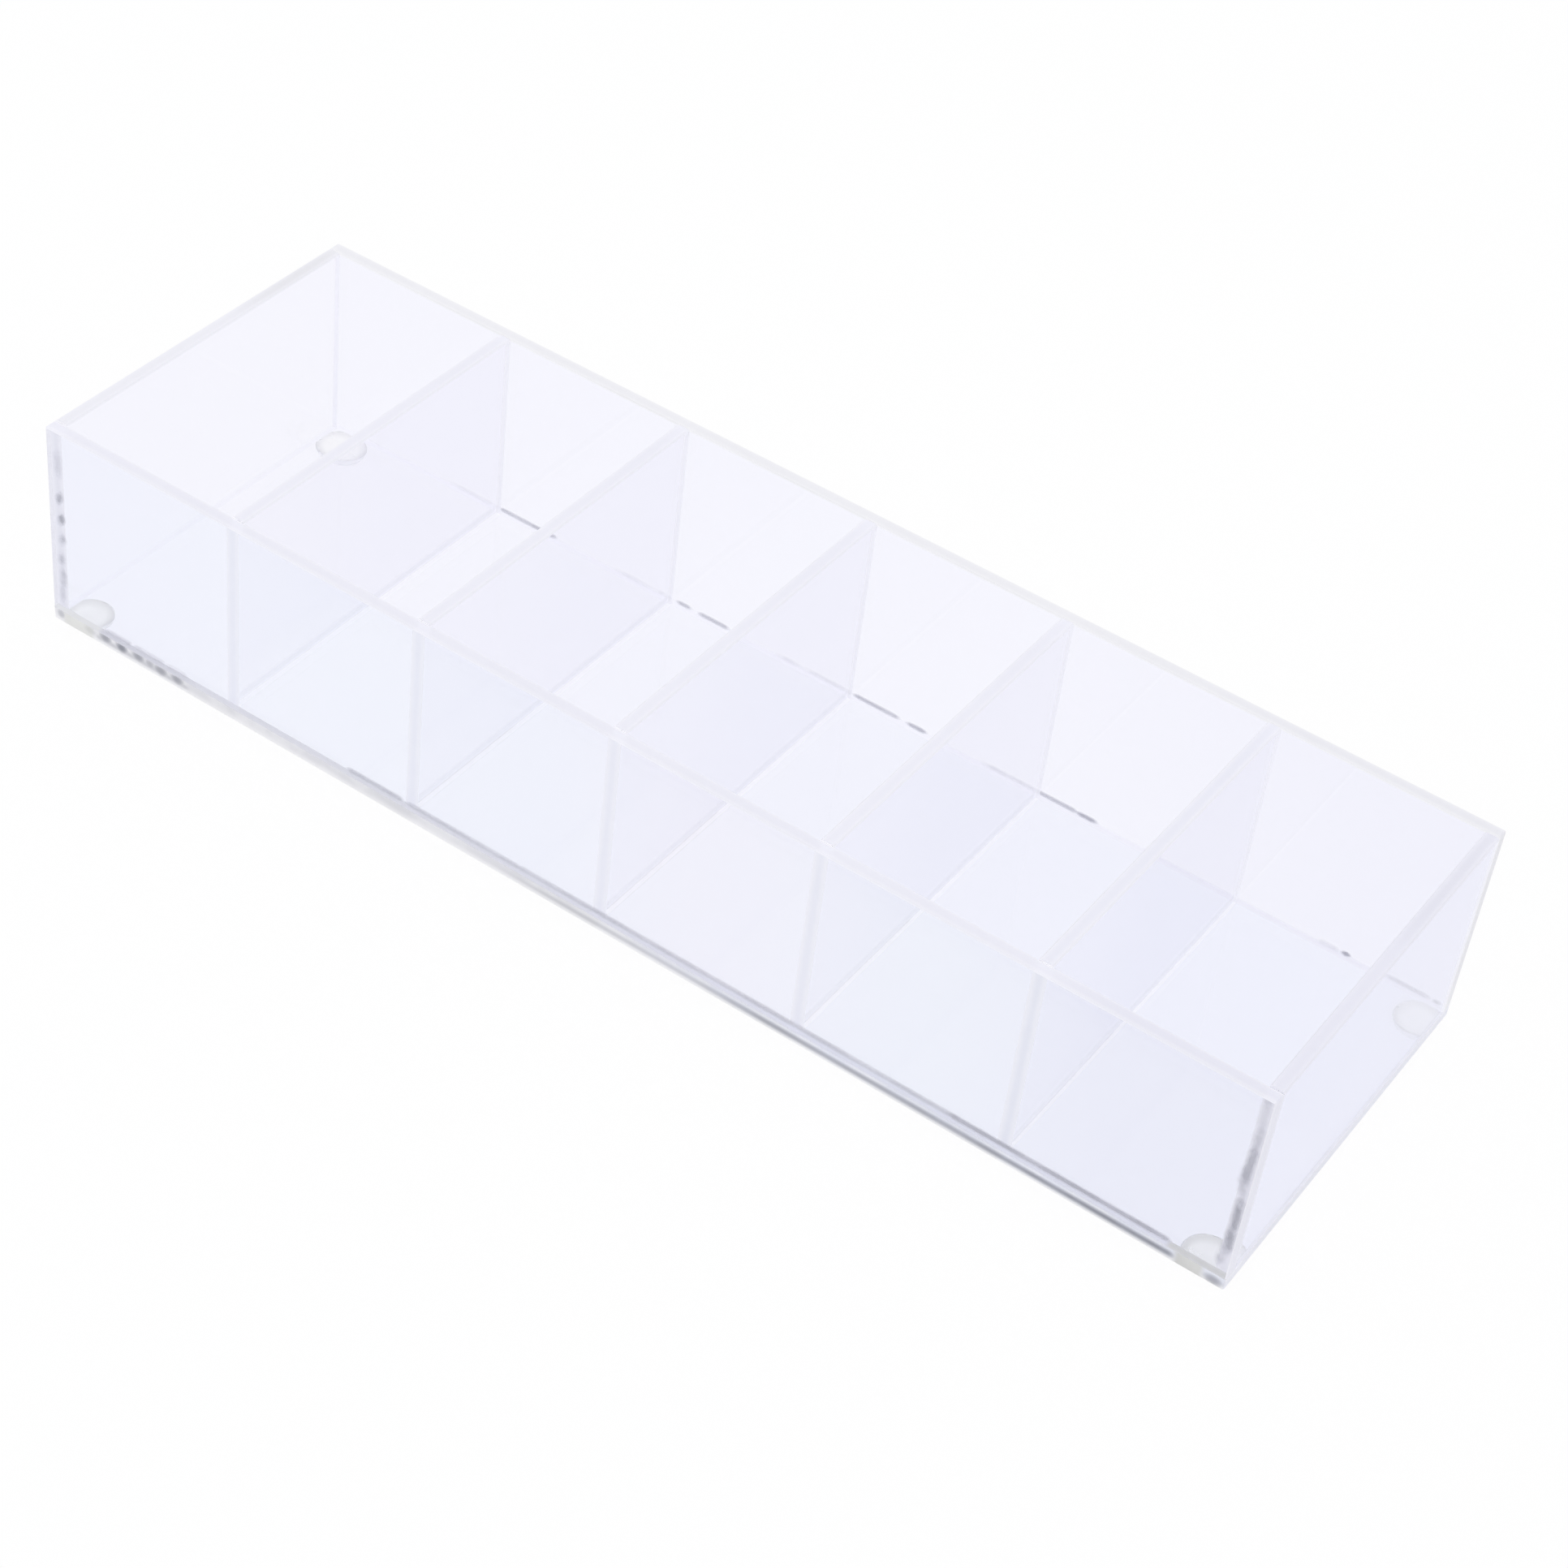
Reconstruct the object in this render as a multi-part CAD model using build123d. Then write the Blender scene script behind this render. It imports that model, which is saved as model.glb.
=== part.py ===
from build123d import *
import os

# Outside size of the tray, measured over its acrylic sheets, in millimetres
tray_length = 280.0
tray_depth = 89.0
tray_height = 49.0

# Acrylic sheets and the eased edge that polishing leaves on them
base_thickness = 3.0
wall_thickness = 3.0
divider_thickness = 3.0
polished_arris = 0.3
compartment_count = 6

# Clear stick-on bumper feet
foot_diameter = 10.0
foot_height = 2.0
foot_land = 0.5
foot_margin = 1.0

# Sizes and levels that follow from those above; height 0 is what the feet stand on
base_underside = foot_height
base_top = base_underside + base_thickness
upright_height = tray_height - base_thickness
cross_span = tray_depth - 2 * wall_thickness
divider_count = compartment_count - 1
free_length = tray_length - 2 * wall_thickness - divider_count * divider_thickness
compartment_width = free_length / compartment_count
divider_pitch = compartment_width + divider_thickness
foot_radius = foot_diameter / 2
foot_edge_radius = foot_height - foot_land
foot_inset = foot_margin + foot_radius
on_its_lower_face = (Align.CENTER, Align.CENTER, Align.MIN)


def base_plate():
    """Flat plate that every upright stands on; its bottom and corner edges are eased."""
    plate = Pos(0, 0, base_underside) * Box(
        tray_length, tray_depth, base_thickness, align=on_its_lower_face
    )
    corner_edges = plate.edges().filter_by(Axis.Z)
    bottom_edges = plate.edges().group_by(Axis.Z)[0]
    return chamfer(corner_edges + bottom_edges, polished_arris)


def long_wall(side):
    """Front (side -1) or rear (side 1) wall, which runs the whole length of the tray.

    The top edges and the two outer corner edges are eased. The bottom and the inner
    corner edges stay square, because they are cemented.
    """
    wall_centre = side * (tray_depth - wall_thickness) / 2
    wall = Pos(0, wall_centre, base_top) * Box(
        tray_length, wall_thickness, upright_height, align=on_its_lower_face
    )
    top_edges = wall.edges().group_by(Axis.Z)[-1]
    outward = Axis((0, 0, 0), (0, side, 0))
    corner_edges = wall.edges().filter_by(Axis.Z).group_by(outward)[-1]
    return chamfer(top_edges + corner_edges, polished_arris)


def cross_panel(centre, thickness):
    """Upright that butts between the long walls: an end wall or a divider.

    Only its two long top edges are eased. The other edges are cemented to the base
    and to the long walls, so they stay square.
    """
    panel = Pos(centre, 0, base_top) * Box(
        thickness, cross_span, upright_height, align=on_its_lower_face
    )
    rim_edges = panel.edges().filter_by(Axis.Y).group_by(Axis.Z)[-1]
    return chamfer(rim_edges, polished_arris)


def end_wall(side):
    """Left (side -1) or right (side 1) end, flush with the ends of the long walls."""
    return cross_panel(side * (tray_length - wall_thickness) / 2, wall_thickness)


def divider(number):
    """Divider counted from the left end, one pitch from the next."""
    steps_from_middle = number - (divider_count + 1) / 2
    return cross_panel(steps_from_middle * divider_pitch, divider_thickness)


def bumper_foot(side, depth_side):
    """Round button foot under one corner: a short straight land, then a rounded rim."""
    foot = Cylinder(foot_radius, foot_height, align=on_its_lower_face)
    lower_rim = foot.edges().group_by(Axis.Z)[0]
    foot = fillet(lower_rim, foot_edge_radius)
    place_along = side * (tray_length / 2 - foot_inset)
    place_across = depth_side * (tray_depth / 2 - foot_inset)
    return Pos(place_along, place_across, 0) * foot


# Every piece of the tray by name
pieces = {
    "base_plate": base_plate(),
    "front_wall": long_wall(-1),
    "rear_wall": long_wall(1),
    "left_end_wall": end_wall(-1),
    "right_end_wall": end_wall(1),
    "foot_front_left": bumper_foot(-1, -1),
    "foot_front_right": bumper_foot(1, -1),
    "foot_rear_left": bumper_foot(-1, 1),
    "foot_rear_right": bumper_foot(1, 1),
}
for number in range(1, divider_count + 1):
    pieces[f"divider_{number}"] = divider(number)

os.makedirs("parts", exist_ok=True)
for name, solid in pieces.items():
    export_step(solid, f"parts/{name}.step")
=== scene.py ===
"""Looks of a clear acrylic tray with six compartments, dressed on the sheets of its solid model."""
import logging
import math
import random
from dataclasses import dataclass
from enum import Enum
from functools import cache, cached_property, reduce

import bmesh
import bpy
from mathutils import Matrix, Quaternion, Vector


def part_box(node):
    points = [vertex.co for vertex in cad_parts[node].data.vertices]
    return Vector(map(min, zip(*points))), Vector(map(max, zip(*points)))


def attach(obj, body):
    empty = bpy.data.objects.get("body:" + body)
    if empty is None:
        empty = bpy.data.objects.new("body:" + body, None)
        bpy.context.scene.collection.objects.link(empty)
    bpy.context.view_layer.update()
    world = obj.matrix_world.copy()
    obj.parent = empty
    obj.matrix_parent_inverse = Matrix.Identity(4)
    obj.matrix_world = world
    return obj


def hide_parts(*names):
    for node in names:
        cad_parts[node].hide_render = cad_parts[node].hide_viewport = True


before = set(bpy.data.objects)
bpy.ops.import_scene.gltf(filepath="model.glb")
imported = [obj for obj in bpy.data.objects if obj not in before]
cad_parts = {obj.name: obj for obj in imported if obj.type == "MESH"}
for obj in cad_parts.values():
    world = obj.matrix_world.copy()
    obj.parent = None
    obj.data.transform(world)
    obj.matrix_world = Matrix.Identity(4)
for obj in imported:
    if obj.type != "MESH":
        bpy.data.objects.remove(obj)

log = logging.getLogger("tray")

Colour = tuple[float, float, float]
Point = tuple[float, float, float]
Span = tuple[float, float]
Socket = bpy.types.NodeSocket

MM = 0.001
FRAME_PIXELS = 1932
TRAY_BODY = "root"
ACRYLIC_INDEX = 1.49


class Axis(Enum):
    """The three directions of the tray: along it, across it and up."""

    X = 0
    Y = 1
    Z = 2


class Side(Enum):
    """The two long sides of the tray, by the sign of their y."""

    FRONT = -1
    REAR = 1


class End(Enum):
    """The two short ends of the tray, by the sign of their x."""

    LEFT = -1
    RIGHT = 1


@dataclass(frozen=True)
class TrayLayout:
    """Sizes of the tray in metres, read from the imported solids.

    Args:
        half_length: from the middle to the outside of an end wall.
        half_depth: from the middle to the outside of a long wall.
        sheet: thickness of every sheet.
        underside: height of the base's lower face.
        floor: height of the base's upper face, on which the walls stand.
        rim: height of the walls' upper edges.
        foot_radius: radius of a bumper foot.
        foot_reach: distance of a foot's centre from the middle, along x and y.
        panels: x of the mid-plane of each end wall and divider, from the left.
    """

    half_length: float
    half_depth: float
    sheet: float
    underside: float
    floor: float
    rim: float
    foot_radius: float
    foot_reach: tuple[float, float]
    panels: tuple[float, ...]

    @classmethod
    @cache
    def from_frame(cls) -> "TrayLayout":
        """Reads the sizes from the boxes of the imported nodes.

        Returns:
            The layout of the tray at rest.
        """
        low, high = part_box("base_plate")
        _, wall_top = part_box("rear_wall")
        foot_low, foot_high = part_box("foot_rear_right")
        cross = ["left_end_wall", *(f"divider_{n}" for n in range(1, 6)), "right_end_wall"]
        middles = []
        for node in cross:
            left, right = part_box(node)
            middles.append((left[0] + right[0]) / 2)
        return cls(
            half_length=high[0],
            half_depth=high[1],
            sheet=high[2] - low[2],
            underside=low[2],
            floor=high[2],
            rim=wall_top[2],
            foot_radius=(foot_high[0] - foot_low[0]) / 2,
            foot_reach=((foot_low[0] + foot_high[0]) / 2, (foot_low[1] + foot_high[1]) / 2),
            panels=tuple(middles),
        )

    @property
    def joint_plane(self) -> float:
        """Distance of a long wall's inner face from the middle."""
        return self.half_depth - self.sheet

    @property
    def pitch(self) -> float:
        """Distance between neighbouring cross panels."""
        return (self.panels[-1] - self.panels[0]) / (len(self.panels) - 1)


@dataclass(frozen=True)
class Place:
    """The object coordinates inside a material, as a vector and by axis."""

    vector: Socket
    x: Socket
    y: Socket
    z: Socket


class ShaderTree:
    """Wires the nodes of one material or world."""

    MIX_INPUTS = (0, 6, 7)
    MIX_RESULT = 2
    NOISE_MEAN = 0.5

    def __init__(self, owner: bpy.types.Material | bpy.types.World) -> None:
        """Empties the owner's node tree and keeps it.

        Args:
            owner: the material or world to wire.
        """
        owner.use_nodes = True
        self.owner = owner
        self.tree = owner.node_tree
        self.tree.nodes.clear()

    @cached_property
    def at(self) -> Place:
        """The object coordinates, which are the tray's own."""
        vector = self.node("ShaderNodeTexCoord").outputs["Object"]
        return Place(vector, *self.node("ShaderNodeSeparateXYZ", Vector=vector).outputs)

    def node(self, kind: str, **inputs: float | Colour | Socket) -> bpy.types.Node:
        """Adds a node and fills its inputs.

        Args:
            kind: the node's type.
            inputs: values or sockets by input name, with underscores for spaces.

        Returns:
            The new node.
        """
        made = self.tree.nodes.new(kind)
        for name, value in inputs.items():
            self.feed(made.inputs[name.replace("_", " ")], value)
        return made

    def feed(self, target: Socket, value: float | Colour | Socket) -> None:
        """Links a socket to an input, or writes a plain number or colour on it.

        Args:
            target: the input.
            value: what it gets.
        """
        if isinstance(value, bpy.types.NodeSocket):
            self.tree.links.new(value, target)
        else:
            target.default_value = (*value, 1.0) if isinstance(value, tuple) else value

    def math(self, operation: str, *values: float | Socket) -> Socket:
        """Adds a Math node over up to three values.

        Args:
            operation: name of the operation.
            values: its operands, in order.

        Returns:
            The result.
        """
        made = self.node("ShaderNodeMath")
        made.operation = operation
        for target, value in zip(made.inputs, values):
            self.feed(target, value)
        return made.outputs[0]

    def product(self, *values: float | Socket) -> Socket:
        """Multiplies two or more values."""
        return reduce(lambda total, value: self.math("MULTIPLY", total, value), values)

    def distance(self, value: Socket, middle: float) -> Socket:
        """Gives how far a value is from a middle."""
        return self.math("ABSOLUTE", self.math("SUBTRACT", value, middle))

    def length(self, along: Socket, across: Socket) -> Socket:
        """Gives the length of the arrow with these two parts."""
        return self.math("SQRT", self.math("MULTIPLY_ADD", along, along, self.product(across, across)))

    def rise(self, value: Socket, start: float, end: float) -> Socket:
        """Steps smoothly from 0 to 1.

        Args:
            value: the number that drives the step.
            start: where the step leaves 0.
            end: where it reaches 1.

        Returns:
            The step.
        """
        made = self.node("ShaderNodeMapRange", Value=value, From_Min=start, From_Max=end)
        made.interpolation_type = "SMOOTHSTEP"
        return made.outputs["Result"]

    def fall(self, value: Socket, start: float, end: float) -> Socket:
        """Gives 1 before start and 0 after end, with a smooth step between them."""
        return self.math("SUBTRACT", 1.0, self.rise(value, start, end))

    def between(self, amount: Socket, low: float, high: float) -> Socket:
        """Runs from one number to another as an amount goes from 0 to 1."""
        return self.node("ShaderNodeMapRange", Value=amount, To_Min=low, To_Max=high).outputs["Result"]

    def tone(self, amount: Socket, low: Colour | Socket, high: Colour | Socket) -> Socket:
        """Mixes two colours.

        Args:
            amount: share of the second colour.
            low: first colour.
            high: second colour.

        Returns:
            The mixed colour.
        """
        made = self.node("ShaderNodeMix")
        made.data_type = "RGBA"
        for target, value in zip(self.MIX_INPUTS, (amount, low, high)):
            self.feed(made.inputs[target], value)
        return made.outputs[self.MIX_RESULT]

    def noise(self, scale: float, detail: float = 2.0) -> Socket:
        """Gives a soft random field over the tray's own coordinates, with a mean near a half.

        Args:
            scale: how many turns it makes in a metre.
            detail: how many finer layers it has.

        Returns:
            The field.
        """
        made = self.node("ShaderNodeTexNoise", Vector=self.at.vector, Scale=scale, Detail=detail)
        return made.outputs["Fac"]

    def swing(self, field: Socket) -> Socket:
        """Gives how far a random field is from its mean."""
        return self.math("SUBTRACT", field, self.NOISE_MEAN)

    def facing(self, axis: Axis) -> Socket:
        """Gives 1 where a face looks along an axis, and -1 where it looks the other way."""
        normal = self.node("ShaderNodeNewGeometry").outputs["True Normal"]
        return self.node("ShaderNodeSeparateXYZ", Vector=normal).outputs[axis.value]

    def mark(self, name: str) -> Socket:
        """Gives a number that a piece's mesh carries at each of its points.

        Args:
            name: name of the number.

        Returns:
            The number.
        """
        made = self.node("ShaderNodeAttribute")
        made.attribute_name = name
        return made.outputs["Fac"]

    def dents(self, height: Socket, strength: float, depth: float) -> Socket:
        """Gives the normal of a surface with fine dents in it."""
        return self.node("ShaderNodeBump", Height=height, Strength=strength, Distance=depth).outputs[0]

    def blend(self, amount: float | Socket, first: Socket, second: Socket) -> Socket:
        """Mixes two shaders.

        Args:
            amount: share of the second shader.
            first: shader at 0.
            second: shader at 1.

        Returns:
            The mixed shader.
        """
        made = self.node("ShaderNodeMixShader")
        for target, value in zip(made.inputs, (amount, first, second)):
            self.feed(target, value)
        return made.outputs[0]

    def let_light_by(self, shader: Socket, passed: Colour) -> Socket:
        """Lets light for the surfaces behind a clear piece pass straight through it.

        Args:
            shader: what the camera and the reflections meet.
            passed: what the light keeps.

        Returns:
            The shader with lamp light and soft light let by.
        """
        path = self.node("ShaderNodeLightPath").outputs
        clear = self.node("ShaderNodeBsdfTransparent", Color=passed).outputs[0]
        soft = self.blend(path["Is Diffuse Ray"], shader, clear)
        return self.blend(path["Is Shadow Ray"], soft, clear)

    def background_rays(self) -> Socket:
        """Tells the rays that see the background: straight, mirrored or through glass.

        Returns:
            1 for such a ray and 0 for light.
        """
        path = self.node("ShaderNodeLightPath").outputs
        seen = self.math("MAXIMUM", path["Is Camera Ray"], path["Is Glossy Ray"])
        return self.math("MAXIMUM", seen, path["Is Transmission Ray"])

    def surface(self, shader: Socket) -> None:
        """Ends the tree with what the surface or the world shows."""
        kind = "World" if isinstance(self.owner, bpy.types.World) else "Material"
        self.node(f"ShaderNodeOutput{kind}", Surface=shader)


class Finish:
    """A clear finish of the tray, which lets light for what lies behind it pass."""

    PASSED: Colour = (1, 1, 1)

    def material(self, name: str) -> bpy.types.Material:
        """Makes the finish.

        Args:
            name: name of the material.

        Returns:
            The material.
        """
        made = bpy.data.materials.new(name)
        tree = ShaderTree(made)
        tree.surface(tree.let_light_by(self.body(tree), self.PASSED))
        return made

    def body(self, tree: ShaderTree) -> Socket:
        """Wires what the camera and the reflections meet.

        Args:
            tree: the tree of the finish.

        Returns:
            The shader.
        """
        raise NotImplementedError


@dataclass(frozen=True)
class SheetZones:
    """Finds the sawn edges and the joints of a sheet.

    Args:
        tree: the tree of the sheet's finish.
        layout: sizes of the tray.
        thin_along: the direction in which the sheet is thin.
    """

    tree: ShaderTree
    layout: TrayLayout
    thin_along: Axis

    SAWN_BELOW = 0.95
    SLACK = 0.01 * MM
    GLUED_SHARE = 0.96

    def on_edge(self) -> Socket:
        """Gives 1 on a face that the saw made, and 0 on a broad one."""
        off = self.tree.math("ABSOLUTE", self.tree.facing(self.thin_along))
        return self.tree.math("LESS_THAN", off, self.SAWN_BELOW)

    def at_level(self, value: Socket, level: float) -> Socket:
        """Gives 1 where a value lies at a level."""
        return self.tree.math("LESS_THAN", self.tree.distance(value, level), self.SLACK)

    def off_panel(self) -> Socket:
        """Gives the distance along x from the nearest cross panel's mid-plane.

        Returns:
            The distance in metres.
        """
        half = self.layout.pitch / 2
        shifted = self.tree.math("SUBTRACT", self.tree.at.x, self.layout.panels[0])
        return self.tree.math("ABSOLUTE", self.tree.math("WRAP", shifted, half, -half))

    def off_middle(self) -> Socket:
        """Gives the distance from the mid-plane of the sheet that a point belongs to.

        Returns:
            The distance in metres.
        """
        tree, lay = self.tree, self.layout
        if self.thin_along is Axis.X:
            return self.off_panel()
        if self.thin_along is Axis.Y:
            return tree.distance(tree.math("ABSOLUTE", tree.at.y), lay.half_depth - lay.sheet / 2)
        return tree.distance(tree.at.z, (lay.underside + lay.floor) / 2)

    def on_foot(self) -> Socket:
        """Tells where the base's underside is glued to a foot.

        Returns:
            1 over a foot and 0 elsewhere.
        """
        tree, lay = self.tree, self.layout
        along = tree.distance(tree.math("ABSOLUTE", tree.at.x), lay.foot_reach[0])
        across = tree.distance(tree.math("ABSOLUTE", tree.at.y), lay.foot_reach[1])
        glued = tree.math("LESS_THAN", tree.length(along, across), lay.foot_radius * self.GLUED_SHARE)
        return tree.product(self.at_level(tree.at.z, lay.underside), glued)

    def bonded(self) -> Socket:
        """Tells where cement joins two sheets or glue holds a foot: light crosses unbent there.

        Returns:
            1 in a joint and 0 on a free face.
        """
        tree, lay = self.tree, self.layout
        at_panel = tree.math("LESS_THAN", self.off_panel(), lay.sheet / 2 + self.SLACK)
        out = tree.math("ABSOLUTE", tree.at.y)
        in_wall = tree.math("GREATER_THAN", out, lay.joint_plane - self.SLACK)
        on_floor = self.at_level(tree.at.z, lay.floor)
        seat = tree.product(on_floor, tree.math("MAXIMUM", in_wall, at_panel))
        above = tree.math("GREATER_THAN", tree.at.z, lay.floor - self.SLACK)
        upright = tree.product(self.at_level(out, lay.joint_plane), at_panel, above)
        return tree.math("MAXIMUM", self.on_foot(), tree.math("MAXIMUM", seat, upright))


@dataclass(frozen=True)
class CastStop:
    """A place along the tray, and the faint colour that a clear sheet has there.

    Args:
        x: the place, in millimetres.
        colour: what the sheet passes there.
    """

    x: float
    colour: Colour


@dataclass(frozen=True)
class Cast:
    """The faint colour of a clear sheet, which changes along the tray.

    Args:
        stops: the places between which the colour changes, from left to right.
        front: colour of the sheet near the front wall, where that is another one: painted light that
            makes that stretch lighter.
        front_span: y up to which that colour is full, and y from which it has gone.
    """

    stops: tuple[CastStop, ...] = (
        CastStop(-140, (0.932, 0.932, 0.994)),
        CastStop(170, (0.872, 0.886, 0.983)),
    )
    front: Colour | None = None
    front_span: Span = (-40 * MM, 10 * MM)

    def colour(self, tree: ShaderTree) -> Colour | Socket:
        """Gives the colour of the sheet at each place.

        Args:
            tree: the tree of the sheet's finish.

        Returns:
            The colour.
        """
        body: Colour | Socket = self.stops[0].colour
        for left, right in zip(self.stops, self.stops[1:]):
            body = tree.tone(tree.rise(tree.at.x, left.x * MM, right.x * MM), body, right.colour)
        if self.front is None:
            return body
        return tree.tone(tree.fall(tree.at.y, *self.front_span), body, self.front)


@dataclass(frozen=True)
class SawnEdge:
    """The tone of a sawn edge, milky as sawn acrylic is, with painted shade for the light that the
    clear sheet leads into it: a darker core, two lighter margins and a stretch that is deeper.

    Args:
        core: colour along the middle of the edge, darkened by painted shade.
        margin: colour towards its two arrises.
        deep_shade: colour of the core in the deeper stretch, a deeper painted shade.
        deep_shade_along: the direction in which the deeper stretch is placed.
        deep_shade_span: where the deeper painted shade begins, and where it is full.
        core_half: half the width of the full core.
        margin_from: distance from the middle at which the margin is reached.
        ends: colours of a long wall's left and right end faces, painted light and shade.
        clear: share of the edge that is still clear.
        gloss: roughness of the wiped edge.
    """

    core: Colour = (0.870, 0.870, 0.948)
    margin: Colour = (0.925, 0.925, 0.980)
    deep_shade: Colour = (0.845, 0.850, 0.935)
    deep_shade_along: Axis = Axis.X
    deep_shade_span: Span = (60 * MM, 100 * MM)
    core_half: float = 0.3 * MM
    margin_from: float = 1.9 * MM
    ends: tuple[Colour, Colour] | None = None
    clear: float = 0.12
    gloss: float = 0.42

    WANDER = 0.6 * MM
    END_SLACK = 0.05 * MM
    END_SHARE = 0.85

    def colour(self, zones: SheetZones, drift: Socket) -> Socket:
        """Gives the colour of the sawn edges from their core to their margins.

        Args:
            zones: the zones of the sheet.
            drift: a wide soft random field.

        Returns:
            The colour.
        """
        tree = zones.tree
        # Painted shade: the core darkens over the deeper stretch and lightens towards the margins.
        along = (tree.at.x, tree.at.y, tree.at.z)[self.deep_shade_along.value]
        core = tree.tone(tree.rise(along, *self.deep_shade_span), self.core, self.deep_shade)
        off = tree.math("MULTIPLY_ADD", tree.swing(drift), self.WANDER, zones.off_middle())
        sawn = tree.tone(tree.rise(off, self.core_half, self.margin_from), core, self.margin)
        if self.ends is None:
            return sawn
        # Painted light and shade on a long wall's two end faces.
        out = tree.math("ABSOLUTE", tree.at.x)
        at_end = tree.math("GREATER_THAN", out, zones.layout.half_length - self.END_SLACK)
        face = tree.tone(tree.math("GREATER_THAN", tree.at.x, 0.0), *self.ends)
        return tree.tone(tree.product(at_end, self.END_SHARE), sawn, face)


@dataclass(frozen=True)
class LineStep:
    """A stretch of the base's front edge over which its line gets darker or paler.

    Args:
        start: x where the change begins, in millimetres.
        end: x where it ends, in millimetres.
        gain: how much darker the line gets.
    """

    start: float
    end: float
    gain: float


@dataclass(frozen=True)
class Bead:
    """A soft dark bead of painted shade in the base's front edge, with its lengths in millimetres.

    Args:
        x: its place along the edge.
        height: height of its middle.
        half: half its length.
        dark: how dark it gets.
    """

    x: float
    height: float
    half: float
    dark: float

    TALL = 1.8 * MM
    HEART = 0.15

    def darkness(self, tree: ShaderTree) -> Socket:
        """Gives how dark the edge is because of the bead.

        Args:
            tree: the tree of the base's finish.

        Returns:
            The bead's darkness, from its own at the middle to 0.
        """
        along = tree.product(tree.distance(tree.at.x, self.x * MM), 1 / (self.half * MM))
        up = tree.product(tree.distance(tree.at.z, self.height * MM), 1 / self.TALL)
        return tree.product(tree.fall(tree.length(along, up), self.HEART, 1.0), self.dark)


@dataclass(frozen=True)
class FootShow:
    """A place where a foot shows through the base's front edge, painted into the edge as the foot seen
    through it.

    Args:
        x: its middle, in millimetres.
        half: half its length, in millimetres.
        tone: painted colour of the foot seen through the edge.
    """

    x: float
    half: float
    tone: Colour

    FADE = 1.6 * MM

    def share(self, tree: ShaderTree) -> Socket:
        """Gives how much of the foot shows: 1 over it and 0 beside it."""
        half = self.half * MM
        return tree.fall(tree.distance(tree.at.x, self.x * MM), half - self.FADE, half)


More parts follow.
